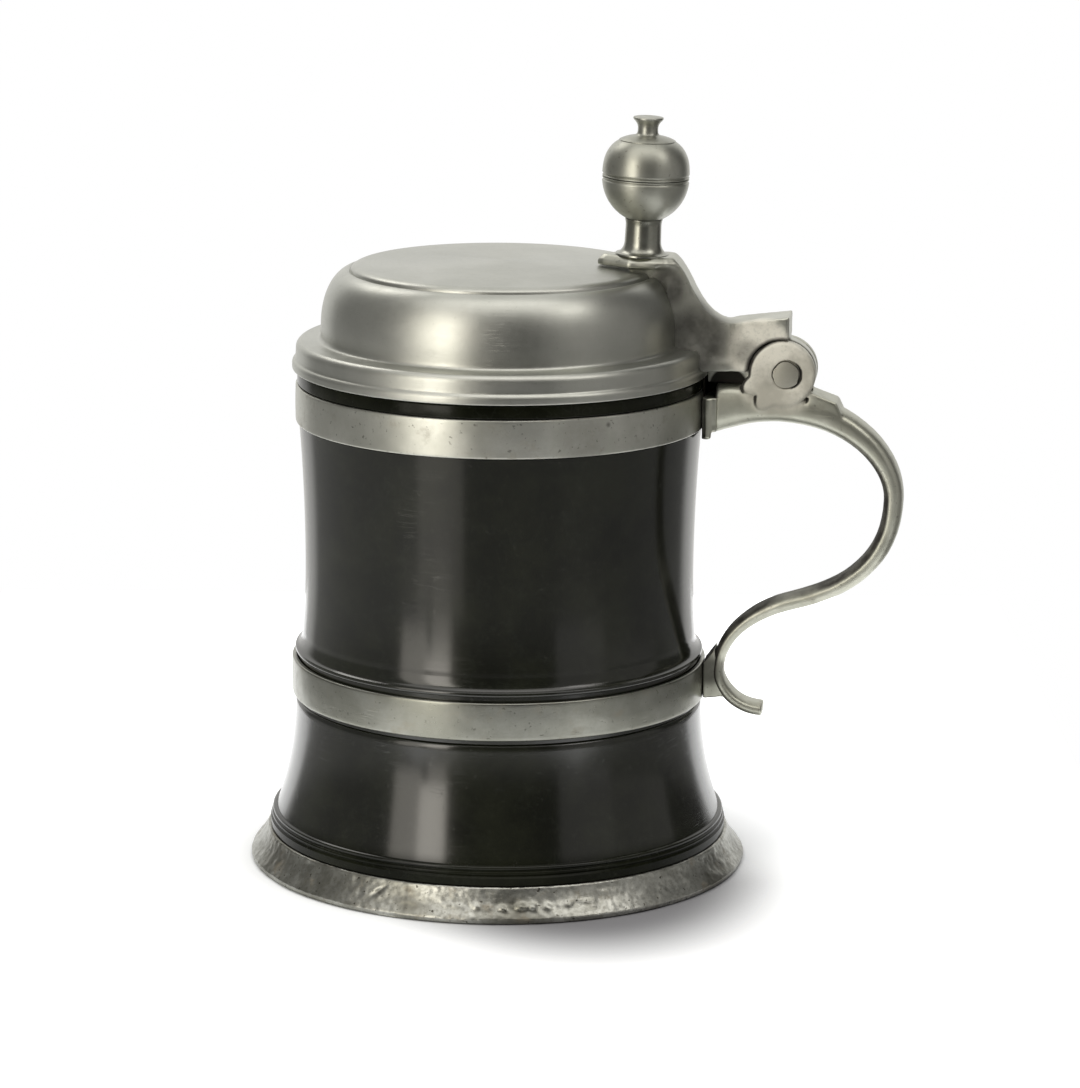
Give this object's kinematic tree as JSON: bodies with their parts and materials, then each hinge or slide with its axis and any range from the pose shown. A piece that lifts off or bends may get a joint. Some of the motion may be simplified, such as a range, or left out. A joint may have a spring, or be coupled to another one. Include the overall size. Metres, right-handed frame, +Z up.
{
  "type": "lidded tankard",
  "caption": "Turned dark stone tankard with pewter foot, bands and S-shaped strap handle, and a domed pewter lid that hinges at the handle and opens by a ball thumbpiece.",
  "frame": {"origin": "on the vessel's axis, at the underside that stands on the table", "axes": "+Z up along the vessel's axis, +X towards the handle and the lid's hinge, +Y along the hinge pin"},
  "size_m": [0.1749, 0.134, 0.2018],
  "materials": {
    "dark_serpentine": "satin",
    "turned_pewter": "satin",
    "worn_pewter": "matte",
    "cast_pewter": "satin",
    "pin_metal": "matte"
  },
  "bodies": {
    "vessel": {"stone_body": "dark_serpentine", "foot_ring": "worn_pewter", "lower_band": "worn_pewter", "upper_band": "worn_pewter", "upper_bracket": "cast_pewter", "lower_lug": "cast_pewter", "handle": "cast_pewter", "hinge_pin": "pin_metal"},
    "lid": {"lid": "turned_pewter", "lid_arm": "cast_pewter", "thumb_stem": "turned_pewter", "thumb_ball_lower": "turned_pewter", "thumb_ball_upper": "turned_pewter", "thumb_finial": "turned_pewter"}
  },
  "joints": [
    {"name": "lid_hinge", "type": "hinge", "parent": "vessel", "child": "lid", "pos_m": [0.0753, 0, 0.1354], "axis": [0, 1, 0], "range_deg": [0, 110]}
  ]
}
